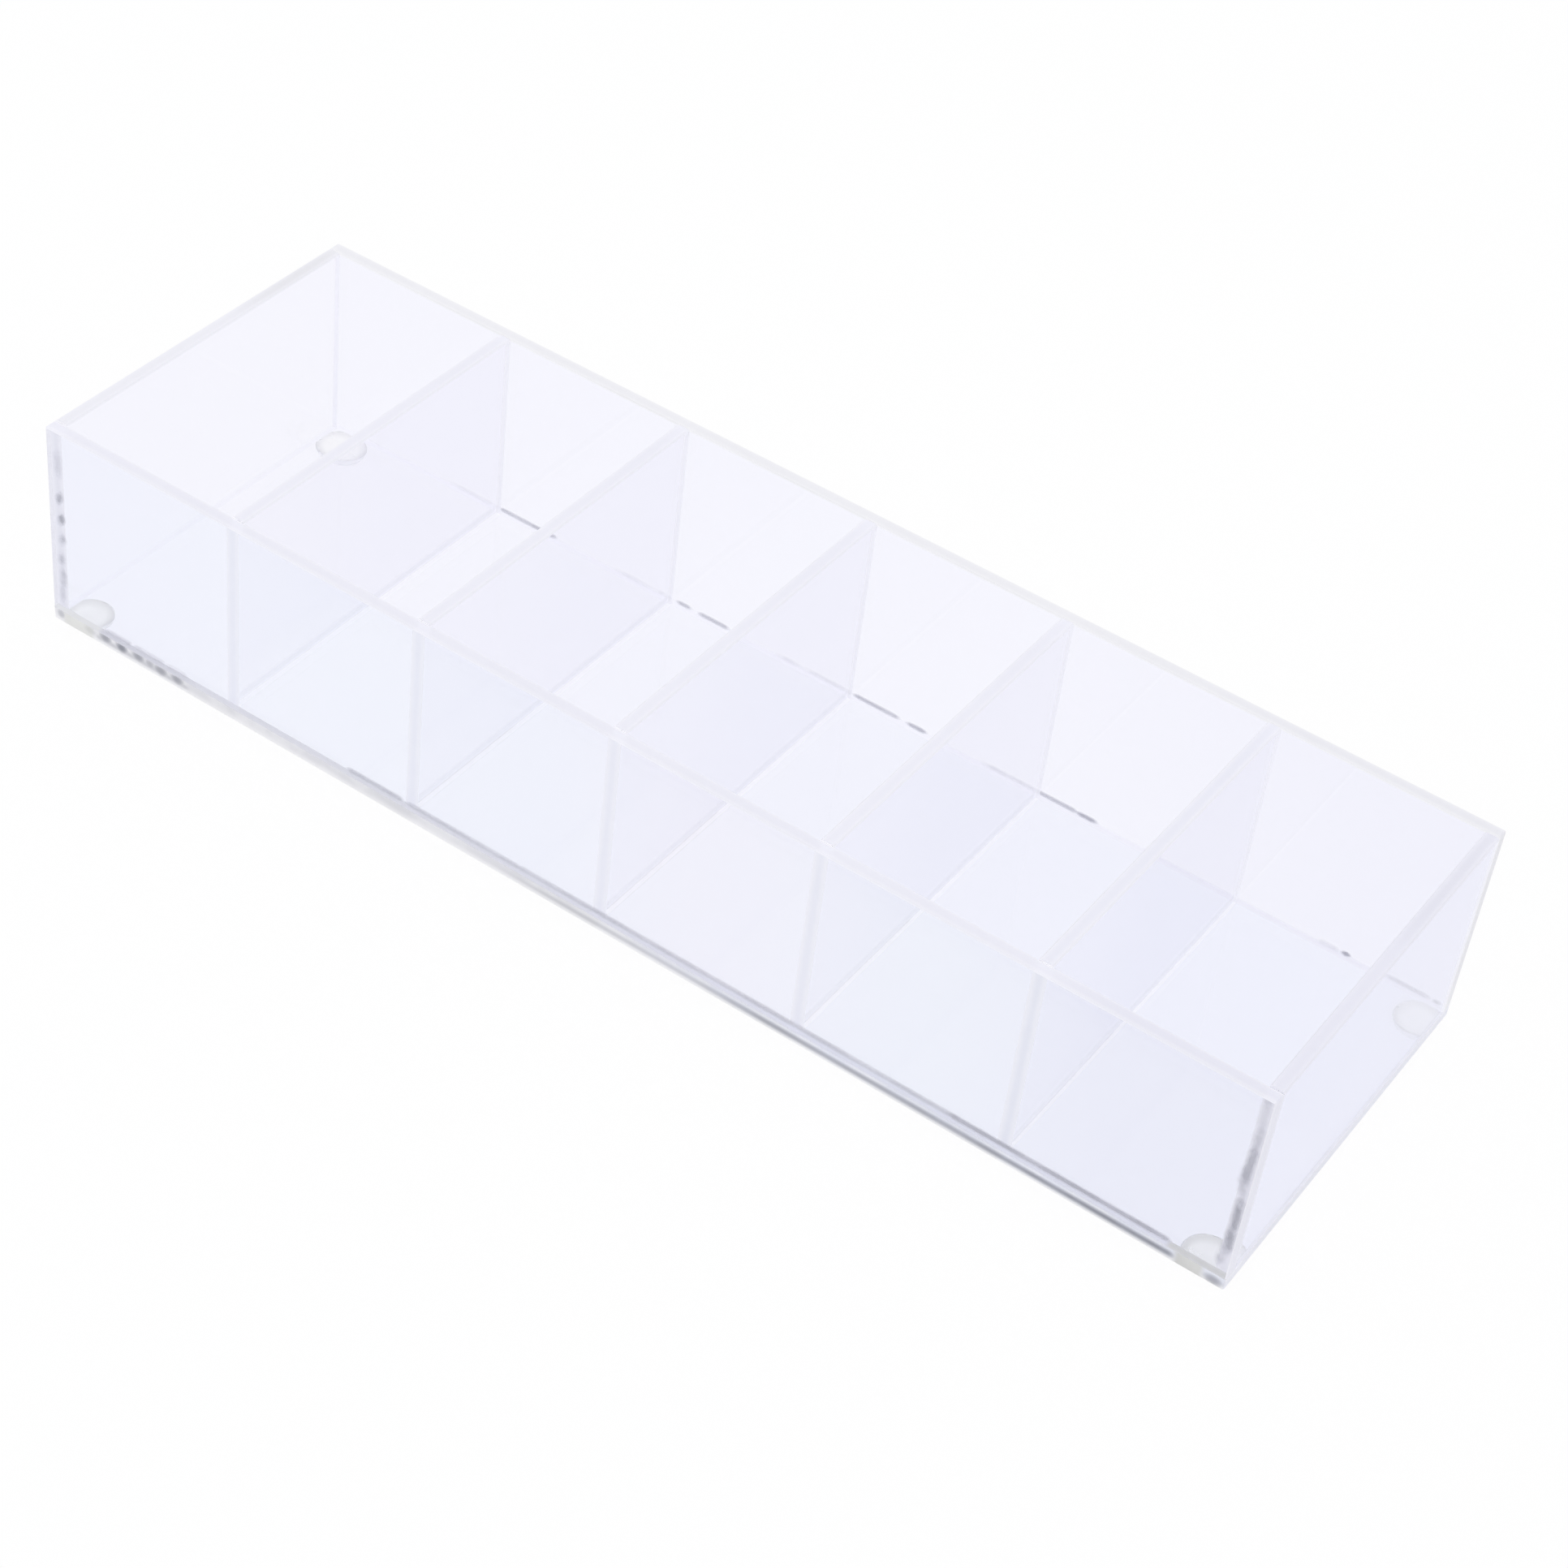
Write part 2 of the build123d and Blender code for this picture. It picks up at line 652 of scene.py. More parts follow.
@dataclass(frozen=True)
class FrontEdgeLine:
    """Painted light and shade in the base's front edge: the dark line where light is caught in the
    sheet, the edge's body with its pale lower arris, the dark beads and the feet that show through it.

    Args:
        dark: colour of the line at its darkest.
        weak: colour of the line where it is weak.
        left_body: colour of the edge round the weak part of the line.
        right_body: colour of the edge round the dark part.
        pale: colour along the lower arris.
        height: height of the line.
        fade: distance over which the line fades on either side.
        body_turn: x over which the edge changes from its left to its right colour.
        steps: where the line gets darker or paler, from left to right.
        beads: the dark beads.
        bead_run: x over which a line joins the beads.
        run_dark: how dark that line is.
        feet: where the feet show.
    """

    dark: Colour = (0.17, 0.18, 0.23)
    weak: Colour = (0.755, 0.755, 0.79)
    left_body: Colour = (0.765, 0.765, 0.80)
    right_body: Colour = (0.79, 0.81, 0.90)
    pale: Colour = (0.925, 0.925, 0.94)
    height: float = 3.55 * MM
    fade: float = 1.25 * MM
    body_turn: Span = (-10 * MM, 45 * MM)
    steps: tuple[LineStep, ...] = (
        LineStep(-45, 0, 0.33),
        LineStep(20, 44, 0.34),
        LineStep(82, 100, 0.20),
        LineStep(128.2, 130.2, -0.87),
    )
    beads: tuple[Bead, ...] = (
        Bead(-138.0, 4.1, 1.6, 0.42),
        Bead(-130.0, 4.1, 3.0, 0.24),
        Bead(-125.8, 4.3, 2.5, 0.68),
        Bead(-121.3, 4.2, 2.4, 0.88),
        Bead(-116.8, 4.3, 2.5, 0.68),
        Bead(-113.6, 4.2, 1.9, 0.46),
        Bead(-110.7, 4.1, 2.7, 0.68),
        Bead(-106.2, 4.2, 2.6, 0.68),
        Bead(137.6, 3.3, 3.0, 0.62),
    )
    bead_run: Span = (-127.5 * MM, -104.5 * MM)
    run_dark: float = 0.33
    feet: tuple[FootShow, ...] = (
        FootShow(-133.2, 4.8, (0.785, 0.79, 0.77)),
        FootShow(132.5, 3.6, (0.675, 0.678, 0.665)),
    )

    FACE_SLACK = 0.1 * MM
    MOTTLE = (150.0, 3.0)
    PALE_MOTTLE = (0.42, 0.62)
    PALE_SHARE = 0.45
    PALE_BAND = (0.3 * MM, 2.0 * MM)
    LINE_SHADE_FULL = 0.3
    RUN_FADES = (1.5 * MM, 3 * MM)
    LINE_MOTTLE = (0.3, 0.65)
    LINE_KEEPS = 0.82

    def paint(self, tree: ShaderTree, layout: TrayLayout, sawn: Socket) -> Socket:
        """Adds the painted line, beads and feet to the colour of the base's sawn edges.

        Args:
            tree: the tree of the base's finish.
            layout: sizes of the tray.
            sawn: colour of the edges without the line.

        Returns:
            The colour of the edges with the line in the front one.
        """
        in_front = tree.math("LESS_THAN", tree.at.y, self.FACE_SLACK - layout.half_depth)
        mottle = tree.noise(*self.MOTTLE)
        body = tree.tone(tree.rise(tree.at.x, *self.body_turn), self.left_body, self.right_body)
        flecks = tree.product(tree.rise(mottle, *self.PALE_MOTTLE), self.PALE_SHARE)
        body = tree.tone(flecks, body, self.pale)
        low, high = (layout.underside + up for up in self.PALE_BAND)
        body = tree.tone(tree.fall(tree.at.z, low, high), body, self.pale)
        line = self._along(tree, mottle)
        for bead in self.beads:
            line = tree.math("MAXIMUM", line, bead.darkness(tree))
        for foot in self.feet:
            body = tree.tone(foot.share(tree), body, foot.tone)
        # Painted shade: the line and the beads darken the edge's body.
        line_shade = tree.tone(tree.rise(line, 0.0, self.LINE_SHADE_FULL), self.weak, self.dark)
        return tree.tone(in_front, sawn, tree.tone(line, body, line_shade))

    def _along(self, tree: ShaderTree, mottle: Socket) -> Socket:
        """Gives how dark the long line is, beads left out.

        Args:
            tree: the tree of the base's finish.
            mottle: a soft random field.

        Returns:
            The line's darkness, which fades above and below it.
        """
        dark: Socket | float = 0.0
        for step in self.steps:
            gain = tree.product(tree.rise(tree.at.x, step.start * MM, step.end * MM), step.gain)
            dark = tree.math("ADD", dark, gain)
        (start, end), (fade_in, fade_out) = self.bead_run, self.RUN_FADES
        joined = tree.product(
            tree.rise(tree.at.x, start - fade_in, start),
            tree.fall(tree.at.x, end, end + fade_out),
            self.run_dark,
        )
        near = tree.fall(tree.distance(tree.at.z, self.height), 0.0, self.fade)
        mottled = tree.between(tree.rise(mottle, *self.LINE_MOTTLE), self.LINE_KEEPS, 1.0)
        return tree.product(tree.math("MAXIMUM", dark, joined), near, mottled)


@dataclass(frozen=True)
class CastSheet(Finish):
    """Clear cast acrylic: a faint lavender cast in the faces, pale sawn edges.

    Args:
        thin_along: the direction in which the sheet is thin.
        cast: the colour of its body.
        edge: the tone of its sawn edges.
        line: the painted dark line of the front edge, for the base only.
        handled: highest roughness of the handled faces.
    """

    thin_along: Axis
    cast: Cast = Cast()
    edge: SawnEdge = SawnEdge()
    line: FrontEdgeLine | None = None
    handled: float = 0.02

    PASSED = (0.978, 0.978, 0.99)
    GRAIN = (900.0, 3.0)
    DRIFT = 22.0
    HANDLED_PATCHES = (0.45, 0.75)
    GLOSS_PLAY = 0.1
    SAW_DENTS = (0.25, 0.05 * MM)

    def body(self, tree: ShaderTree) -> Socket:
        """Wires the clear faces, the sawn edges and the cemented joints.

        Args:
            tree: the tree of the finish.

        Returns:
            The shader.
        """
        zones = SheetZones(tree, TrayLayout.from_frame(), self.thin_along)
        on_edge = zones.on_edge()
        grain = tree.noise(*self.GRAIN)
        drift = tree.noise(self.DRIFT)
        sawn = self.edge.colour(zones, drift)
        if self.line is not None:
            sawn = self.line.paint(tree, zones.layout, sawn)
        wiped = tree.between(tree.rise(drift, *self.HANDLED_PATCHES), 0.0, self.handled)
        gloss = self.edge.gloss
        sanded = tree.between(grain, gloss - self.GLOSS_PLAY, gloss + self.GLOSS_PLAY)
        sheet = tree.node(
            "ShaderNodeBsdfPrincipled",
            Base_Color=tree.tone(on_edge, self.cast.colour(tree), sawn),
            Roughness=tree.math("MULTIPLY_ADD", on_edge, sanded, wiped),
            IOR=ACRYLIC_INDEX,
            Transmission_Weight=tree.between(on_edge, 1.0, self.edge.clear),
            Normal=tree.dents(tree.product(grain, on_edge), *self.SAW_DENTS),
        )
        wet = tree.node("ShaderNodeBsdfTransparent")
        return tree.blend(zones.bonded(), sheet.outputs[0], wet.outputs[0])


@dataclass(frozen=True)
class CementTurn:
    """A stretch of a joint over which its cement changes colour.

    Args:
        start: x where the change begins, in millimetres.
        end: x where it ends, in millimetres.
        colour: what the cement changes to.
    """

    start: float
    end: float
    colour: Colour


@dataclass(frozen=True)
class SetCement(Finish):
    """Set solvent cement between two sheets, a little milkier than the sheet.

    Args:
        core: colour along the middle of the joint.
        margin: colour towards its borders.
        margin_share: how much of that colour the borders get.
        turns: where the core changes colour, from left to right.
        hides: how much of what is behind the film hides.
        fades: how much of that is lost towards the borders.
        painted_glow: painted light, an emission for the light that the sheets lead into the joint and
            the film scatters.
        rear: colour of the side that faces the rear of the tray, if it differs; painted shade that
            offsets the painted light of the other side.
    """

    core: Colour
    margin: Colour
    margin_share: float = 1.0
    turns: tuple[CementTurn, ...] = ()
    hides: float = 0.93
    fades: float = 0.0
    painted_glow: float = 0.0
    rear: Colour | None = None

    PASSED = (0.985, 0.985, 0.99)
    FLOW = (160.0, 3.0)
    GRAIN = (1400.0, 1.0)
    WANDER = 0.5
    FADE_SPAN = (0.2, 1.0)
    MARGIN_SPAN = (0.1, 0.9)
    ROUGH = (0.4, 0.6)
    FLOW_PLAY = (0.96, 1.04)
    REARWARD = 0.5

    def body(self, tree: ShaderTree) -> Socket:
        """Wires the film from its core to its borders.

        Args:
            tree: the tree of the finish.

        Returns:
            The shader.
        """
        flow = tree.noise(*self.FLOW)
        off = tree.math("ABSOLUTE", tree.mark("across"))
        wandered = tree.math("MULTIPLY_ADD", tree.swing(flow), self.WANDER, off)
        hides = tree.between(tree.rise(off, *self.FADE_SPAN), self.hides, self.hides - self.fades)
        core: Colour | Socket = self.core
        for turn in self.turns:
            core = tree.tone(tree.rise(tree.at.x, turn.start * MM, turn.end * MM), core, turn.colour)
        border = tree.product(tree.rise(wandered, *self.MARGIN_SPAN), self.margin_share)
        colour = tree.tone(border, core, self.margin)
        # Painted light and shade: the film's two sides get different colours.
        if self.rear is not None:
            rearward = tree.math("GREATER_THAN", tree.facing(Axis.Y), self.REARWARD)
            colour = tree.tone(rearward, colour, self.rear)
        return tree.node(
            "ShaderNodeBsdfPrincipled",
            Base_Color=colour,
            Roughness=tree.between(tree.noise(*self.GRAIN), *self.ROUGH),
            IOR=ACRYLIC_INDEX,
            Alpha=tree.product(hides, tree.between(flow, *self.FLOW_PLAY)),
            # Painted light: the film glows though it is no lamp.
            Emission_Color=(1.0, 1.0, 1.0),
            Emission_Strength=self.painted_glow,
        ).outputs[0]


@dataclass(frozen=True)
class TrappedAir(Finish):
    """Air that the cement didn't drive out; the dark inside of a joint that it mirrors is a painted
    reflection in its colour.

    Args:
        deep_shade: colour at the heart of a bubble, the darkest of the painted reflection.
        thin: colour of its thin border.
        hides: how much of what is behind it the air hides at its heart.
        heart: share of a bubble's half width over which it is at its deepest.
        mottle: how many times its depth comes and goes in a metre.
        keeps: share of its depth that it has where it is weakest.
    """

    deep_shade: Colour = (0.27, 0.275, 0.325)
    thin: Colour = (0.60, 0.60, 0.67)
    hides: float = 0.92
    heart: float = 0.3
    mottle: float = 300.0
    keeps: float = 0.6

    PASSED = (0.98, 0.98, 0.985)
    MOTTLE_SPAN = (0.35, 0.6)
    ROUGH = (0.15, 0.35)

    def body(self, tree: ShaderTree) -> Socket:
        """Wires the air, with a depth that each patch gives for itself.

        Args:
            tree: the tree of the finish.

        Returns:
            The shader.
        """
        mottle = tree.noise(self.mottle)
        heart = tree.fall(tree.mark("across"), self.heart, 1.0)
        mottled = tree.between(tree.rise(mottle, *self.MOTTLE_SPAN), self.keeps, 1.0)
        # Painted reflection: the air is darkest at its heart.
        depth = tree.product(heart, mottled, tree.mark("depth"))
        return tree.node(
            "ShaderNodeBsdfPrincipled",
            Base_Color=tree.tone(depth, self.thin, self.deep_shade),
            Roughness=tree.between(mottle, *self.ROUGH),
            IOR=ACRYLIC_INDEX,
            Alpha=tree.product(depth, self.hides),
        ).outputs[0]


@dataclass(frozen=True)
class BumperGel(Finish):
    """Soft clear polyurethane of a stick-on foot, with a warm cast.

    Args:
        tint: colour of the gel.
        ring_shade: colour of its rounded border, a painted shade.
        cloud: colour of its cloudier parts.
        clear: share of the light that goes through.
        gloss: roughness of its skin.
    """

    tint: Colour = (0.965, 0.967, 0.935)
    ring_shade: Colour = (0.88, 0.882, 0.86)
    cloud: Colour = (0.93, 0.932, 0.905)
    clear: float = 0.72
    gloss: float = 0.3

    PASSED = (0.95, 0.95, 0.94)
    INDEX = 1.45
    HAZE = (260.0, 3.0)
    FLECKS = (1500.0, 1.0)
    RING_IN = (0.62, 0.84)
    RING_OUT = (0.88, 1.0)
    RING_KEEPS = 0.6
    CLOUDS = (0.5, 0.7)
    GLOSS_PLAY = 0.08
    SKIN_DENTS = (0.15, 0.05 * MM)

    def body(self, tree: ShaderTree) -> Socket:
        """Wires the gel and the painted shade of the ring that its rounded border shows.

        Args:
            tree: the tree of the finish.

        Returns:
            The shader.
        """
        haze = tree.noise(*self.HAZE)
        out = tree.mark("across")
        # Painted shade: the rounded border is darker, a little less so at its very edge.
        weaker = tree.between(tree.rise(out, *self.RING_OUT), 1.0, self.RING_KEEPS)
        ring_shade = tree.product(tree.rise(out, *self.RING_IN), weaker)
        gel = tree.tone(tree.rise(haze, *self.CLOUDS), self.tint, self.cloud)
        return tree.node(
            "ShaderNodeBsdfPrincipled",
            Base_Color=tree.tone(ring_shade, gel, self.ring_shade),
            Roughness=tree.between(haze, self.gloss - self.GLOSS_PLAY, self.gloss + self.GLOSS_PLAY),
            IOR=self.INDEX,
            Transmission_Weight=self.clear,
            Normal=tree.dents(tree.noise(*self.FLECKS), *self.SKIN_DENTS),
        ).outputs[0]


class Sketch:
    """A mesh that is being built, with the numbers that its points carry."""

    def __init__(self) -> None:
        """Starts an empty mesh."""
        self.build = bmesh.new()
        self.across: list[float] = []
        self.depth: list[float] = []

    def point(self, where: Point | Vector, across: float, depth: float = 1.0) -> bmesh.types.BMVert:
        """Adds a point.

        Args:
            where: its place.
            across: how far it lies from the piece's middle, 0 there and 1 at the border.
            depth: how strong the piece is there.

        Returns:
            The point.
        """
        self.across.append(across)
        self.depth.append(depth)
        return self.build.verts.new(where)

    def skin(self, loops: list[list[bmesh.types.BMVert]]) -> None:
        """Joins neighbouring loops of points with faces.

        Args:
            loops: the loops in order; a loop of one point is a tip.
        """
        for first, second in zip(loops, loops[1:]):
            many = max(len(first), len(second))
            for i in range(many):
                j = (i + 1) % many
                if len(first) == 1:
                    self.build.faces.new((first[0], second[i], second[j]))
                elif len(second) == 1:
                    self.build.faces.new((first[i], second[0], first[j]))
                else:
                    self.build.faces.new((first[i], second[i], second[j], first[j]))

    def piece(
        self, name: str, finish: bpy.types.Material, slot: str = "clear_acrylic", smooth: bool = True
    ) -> bpy.types.Object:
        """Puts the mesh into the scene as a piece of the tray.

        Args:
            name: name of the piece.
            finish: its material.
            slot: the record's material slot that it belongs to; not used.
            smooth: whether its faces are shaded as one round surface.

        Returns:
            The piece.
        """
        bmesh.ops.recalc_face_normals(self.build, faces=self.build.faces)
        mesh = bpy.data.meshes.new(name)
        self.build.to_mesh(mesh)
        self.build.free()
        for label, values in (("across", self.across), ("depth", self.depth)):
            layer = mesh.attributes.new(label, "FLOAT", "POINT")
            layer.data.foreach_set("value", values)
        mesh.polygons.foreach_set("use_smooth", [smooth] * len(mesh.polygons))
        mesh.materials.append(finish)
        made = bpy.data.objects.new(name, mesh)
        bpy.context.scene.collection.objects.link(made)
        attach(made, TRAY_BODY)
        return made


@dataclass(frozen=True)
class Ribbon:
    """A thin closed lens along a straight line, for cement films and trapped air.

    Args:
        start: first point of its middle line.
        end: last point.
        sideways: unit direction of its width.
        half_width: half its width.
        bulge: half its thickness.
        taper: length over which its two ends close.
        waver: share by which its width comes and goes.
        depth: how strong it is.
        step: distance between its loops of points.
        seed: start of its random numbers.
    """

    start: Point
    end: Point
    sideways: Point
    half_width: float
    bulge: float
    taper: float
    waver: float = 0.0
    depth: float = 1.0
    step: float = 1.0 * MM
    seed: int = 1

    SECTION = (-1.0, -0.75, -0.5, -0.25, 0.0, 0.25, 0.5, 0.75, 1.0)
    BEATS_PER_MM = (0.31, 0.74, 1.6)
    LEAST_RINGS = 6

    def draw(self, sketch: Sketch) -> None:
        """Adds the ribbon to a mesh that is being built.

        Args:
            sketch: the mesh.
        """
        start, side = Vector(self.start), Vector(self.sideways)
        line = Vector(self.end) - start
        up = line.cross(side).normalized()
        rings = max(self.LEAST_RINGS, round(line.length / self.step))
        runs = [line.length * k / rings for k in range(1, rings)]
        # A taper much shorter than a step gets rings of its own, so that the ends are square.
        if self.taper < runs[0] / 2:
            runs = [self.taper, *runs, line.length - self.taper]
        wave = random.Random(self.seed)
        phases = [wave.uniform(0, math.tau) for _ in self.BEATS_PER_MM]
        loops = [[sketch.point(start, 1.0, self.depth)]]
        for run in runs:
            short = 1 - min(1.0, min(run, line.length - run) / self.taper)
            open_share = math.sqrt(1 - short * short)
            width = self.half_width * open_share * self._beat(run, phases)
            middle = start + line * (run / line.length)
            upper = [(s, 1 - s * s) for s in self.SECTION]
            lower = [(s, s * s - 1) for s in reversed(self.SECTION[1:-1])]
            loops.append([
                sketch.point(
                    middle + side * (width * s) + up * (self.bulge * rise * open_share),
                    min(1.0, math.hypot(s, short)),
                    self.depth,
                )
                for s, rise in upper + lower
            ])
        loops.append([sketch.point(self.end, 1.0, self.depth)])
        sketch.skin(loops)

    def _beat(self, run: float, phases: list[float]) -> float:
        """Gives the factor by which the width comes and goes along the ribbon."""
        waves = sum(math.sin(run / MM * f + p) for f, p in zip(self.BEATS_PER_MM, phases))
        return 1 + self.waver * waves / len(phases)


class Sheets:
    """The ten acrylic sheets of the tray, which keep their solids and get their finish."""

    BASE = CastSheet(Axis.Z, line=FrontEdgeLine())
    FRONT_WALL = CastSheet(
        Axis.Y,
        Cast((
            CastStop(-140, (0.943, 0.955, 0.992)),
            CastStop(-70, (0.950, 0.970, 0.996)),
            CastStop(-20, (0.950, 0.966, 0.990)),
            CastStop(25, (0.972, 0.966, 0.984)),
            CastStop(70, (0.962, 0.976, 0.983)),
            CastStop(115, (0.935, 0.937, 0.963)),
        )),
        # Painted shade in the sawn edges, deeper towards the right, with painted light on the left end
        # face and painted shade on the right one.
        SawnEdge(
            deep_shade=(0.838, 0.838, 0.928),
            deep_shade_span=(85 * MM, 110 * MM),
            ends=((0.995, 0.995, 1.0), (0.84, 0.84, 0.925)),
        ),
    )
    REAR_WALL = CastSheet(
        Axis.Y,
        Cast((CastStop(30, (0.932, 0.932, 0.998)), CastStop(150, (0.895, 0.895, 0.98)))),
        SawnEdge((0.875, 0.875, 0.908), (0.94, 0.94, 0.955), (0.85, 0.85, 0.892)),
    )
    # Painted shade in the end walls' sawn edges, deeper towards the rear.
    LEFT_END = CastSheet(
        Axis.X,
        edge=SawnEdge(
            core=(0.872, 0.872, 0.93),
            deep_shade=(0.815, 0.815, 0.855),
            deep_shade_along=Axis.Y,
            deep_shade_span=(5 * MM, 25 * MM),
        ),
    )
    RIGHT_END = CastSheet(
        Axis.X,
        Cast((CastStop(140, (0.858, 0.864, 0.957)),)),
        SawnEdge(
            core=(0.832, 0.832, 0.92),
            margin=(0.885, 0.885, 0.955),
            deep_shade=(0.79, 0.79, 0.875),
            deep_shade_along=Axis.Y,
            deep_shade_span=(0 * MM, 18 * MM),
        ),
    )
    DIVIDER = CastSheet(
        Axis.X,
        Cast(
            (CastStop(-140, (0.955, 0.953, 0.982)), CastStop(170, (0.935, 0.935, 0.965))),
            # Painted light: each divider is painted lighter towards the front wall.
            front=(0.972, 0.968, 0.986),
        ),
    )

    def dress(self) -> None:
        """Gives every sheet its finish."""
        worn = {
            "base_plate": self.BASE.material("cast_sheet_base"),
            "front_wall": self.FRONT_WALL.material("cast_sheet_front"),
            "rear_wall": self.REAR_WALL.material("cast_sheet_rear"),
            "left_end_wall": self.LEFT_END.material("cast_sheet_left_end"),
            "right_end_wall": self.RIGHT_END.material("cast_sheet_right_end"),
        }
        divider = self.DIVIDER.material("cast_sheet_divider")
        for node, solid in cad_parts.items():
            if node.startswith("foot"):
                continue
            for slot in solid.material_slots:
                slot.material = worn.get(node, divider)
            log.info("%s wears %s", node, solid.material_slots[0].material.name)


@dataclass
class CementJoints:
    """The cement in every joint: under the walls and panels, and at the panels' ends.

    Args:
        layout: sizes of the tray.
        sunk: depth of a film in the sheet that it is bonded to.
        bulge: half the thickness of a film.
        spare: how far a film stays inside the joint's border.
        arris: height of the eased edge at the rim, which holds no cement.
        bead_height: height of the bead of cement along a divider's foot.
        bead_taper: length over which the ends of that bead close.
    """

    layout: TrayLayout
    sunk: float = 0.03 * MM
    bulge: float = 0.008 * MM
    spare: float = 0.02 * MM
    arris: float = 0.3 * MM
    bead_height: float = 2.6 * MM
    bead_taper: float = 1 * MM

    UPRIGHT = SetCement(
        (0.885, 0.893, 0.965),
        (0.945, 0.945, 0.99),
        margin_share=0.7,
        turns=(CementTurn(15, 100, (0.845, 0.86, 0.935)),),
    )
    CORNER = SetCement((0.83, 0.83, 0.895), (0.885, 0.885, 0.94))
    # Painted light: this film, at the rear joints and under the dividers, is near white and glows; its
    # rear-facing side is darker.
    BRIGHT = SetCement(
        (0.985, 0.985, 1.0), (0.99, 0.99, 1.0), painted_glow=0.07, rear=(0.82, 0.82, 0.875)
    )
    # Painted light: near white and glowing.
    LEFT_SEAT = SetCement((0.975, 0.975, 0.99), (0.975, 0.975, 0.99), painted_glow=0.045)
    RIGHT_SEAT = SetCement((0.82, 0.83, 0.90), (0.86, 0.86, 0.93), hides=0.8)
    # Painted light: near white and glowing, a little darker in its middle stretch.
    REAR_SEAT = SetCement(
        (0.975, 0.975, 0.99),
        (0.98, 0.98, 0.99),
        margin_share=0.25,
        turns=(CementTurn(30, 105, (0.905, 0.905, 0.935)),),
        painted_glow=0.065,
    )
    # Cement under the front wall, with painted light and shade in its tones for what shows through the
    # seam: darker along the beads on the left and over the right foot.
    FRONT_SEAT = SetCement(
        (0.83, 0.835, 0.815),
        (0.76, 0.765, 0.82),
        margin_share=0.25,
        turns=(
            CementTurn(-128.3, -127.0, (0.70, 0.70, 0.745)),
            CementTurn(-106, -101, (0.765, 0.765, 0.805)),
            CementTurn(-60, 60, (0.785, 0.80, 0.885)),
            CementTurn(127.0, 128.3, (0.665, 0.67, 0.655)),
        ),
    )
    FOOT_BEAD = SetCement((0.86, 0.87, 0.93), (0.92, 0.92, 0.97), hides=0.14, fades=0.12)

    def build(self) -> None:
        """Lays the films of the seven cross panels and of the two long walls."""
        last = len(self.layout.panels) - 1
        upright = self.UPRIGHT.material("cement_upright")
        corner = self.CORNER.material("cement_corner")
        bright = self.BRIGHT.material("cement_bright")
        foot_bead = self.FOOT_BEAD.material("cement_foot_bead")
        seats = {
            0: self.LEFT_SEAT.material("cement_left_seat"),
            last: self.RIGHT_SEAT.material("cement_right_seat"),
        }
        for number, x in enumerate(self.layout.panels):
            front = corner if number in seats else upright
            for side, worn in ((Side.FRONT, front), (Side.REAR, bright)):
                self._upright(f"cement_{side.name.lower()}_joint_{number}", worn, x, side)
            self._seat(f"cement_seat_{number}", seats.get(number, bright), x)
            if number not in seats:
                self._foot_bead(f"cement_bead_{number}", foot_bead, x)
            log.info("cement holds the cross panel at x %.1f mm", x / MM)
        self._wall_seat("cement_rear_wall", self.REAR_SEAT.material("cement_rear_seat"), Side.REAR)
        self._wall_seat("cement_front_wall", self.FRONT_SEAT.material("cement_front_seat"), Side.FRONT)
        log.info("cement lies under both long walls")

    def _lay(self, name: str, worn: bpy.types.Material, ribbon: Ribbon) -> None:
        """Puts a film or bead into the scene, with its faces flat.

        Args:
            name: name of the piece.
            worn: its material.
            ribbon: its shape.
        """
        sketch = Sketch()
        ribbon.draw(sketch)
        sketch.piece(name, worn, smooth=False)

    def _film(self, start: Point, end: Point, sideways: Point) -> Ribbon:
        """Gives a film of the full width of a joint."""
        half = self.layout.sheet / 2 - self.spare
        return Ribbon(start, end, sideways, half, self.bulge, self.spare)

    def _upright(self, name: str, worn: bpy.types.Material, x: float, side: Side) -> None:
        """Lays the film between the end of a cross panel and a long wall.

        Args:
            name: name of the piece.
            worn: its material.
            x: mid-plane of the panel.
            side: the long wall.
        """
        lay = self.layout
        y = side.value * (lay.joint_plane + self.sunk)
        film = self._film((x, y, lay.floor + self.spare), (x, y, lay.rim - self.arris), (1, 0, 0))
        self._lay(name, worn, film)

    def _seat(self, name: str, worn: bpy.types.Material, x: float) -> None:
        """Lays the film under a cross panel.

        Args:
            name: name of the piece.
            worn: its material.
            x: mid-plane of the panel.
        """
        reach = self.layout.joint_plane - self.spare
        z = self.layout.floor - self.sunk
        self._lay(name, worn, self._film((x, -reach, z), (x, reach, z), (1, 0, 0)))

    def _foot_bead(self, name: str, worn: bpy.types.Material, x: float) -> None:
        """Lays the cement that rose along the foot of a divider, inside its left face.

        Args:
            name: name of the piece.
            worn: its material.
            x: mid-plane of the divider.
        """
        lay, half = self.layout, self.bead_height / 2
        reach = lay.joint_plane - self.spare
        left = x - lay.sheet / 2 + self.sunk
        start, end = (left, -reach, lay.floor + half), (left, reach, lay.floor + half)
        self._lay(name, worn, Ribbon(start, end, (0, 0, 1), half, self.bulge, self.bead_taper))

    def _wall_seat(self, name: str, worn: bpy.types.Material, side: Side) -> None:
        """Lays the film under a long wall.

        Args:
            name: name of the piece.
            worn: its material.
            side: the long wall.
        """
        lay = self.layout
        reach = lay.half_length - self.spare
        y = side.value * (lay.half_depth - lay.sheet / 2)
        z = lay.floor - self.sunk
        self._lay(name, worn, self._film((-reach, y, z), (reach, y, z), (0, 1, 0)))


